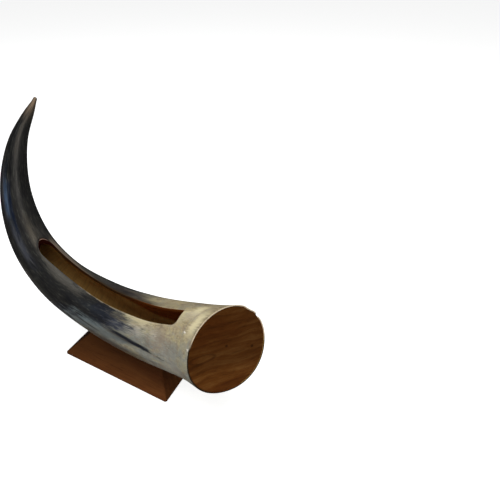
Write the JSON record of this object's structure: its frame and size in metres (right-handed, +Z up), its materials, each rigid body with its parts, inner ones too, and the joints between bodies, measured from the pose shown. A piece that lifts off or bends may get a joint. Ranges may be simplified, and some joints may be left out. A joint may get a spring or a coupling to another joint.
{
  "type": "decorative bull horn",
  "caption": "Polished curved bull horn lying on a bevelled wood block, its mouth closed by a flat wood disc, with a long slot cut down into its hollow upper side.",
  "frame": {"origin": "centre of the wood block's flat underside", "axes": "+X runs along the block towards the horn's closed mouth, +Y is the side the tip bends towards, +Z is up"},
  "size_m": [0.3418, 0.1529, 0.2625],
  "materials": {
    "horn": "polished natural horn, satin, cream at the mouth and blue-black towards the tip",
    "mouth_disc": "oiled teak, satin",
    "stand_block": "oiled reddish teak, satin"
  },
  "bodies": {
    "root": {"horn": "horn", "mouth_disc": "mouth_disc", "stand_block": "stand_block"}
  },
  "joints": []
}
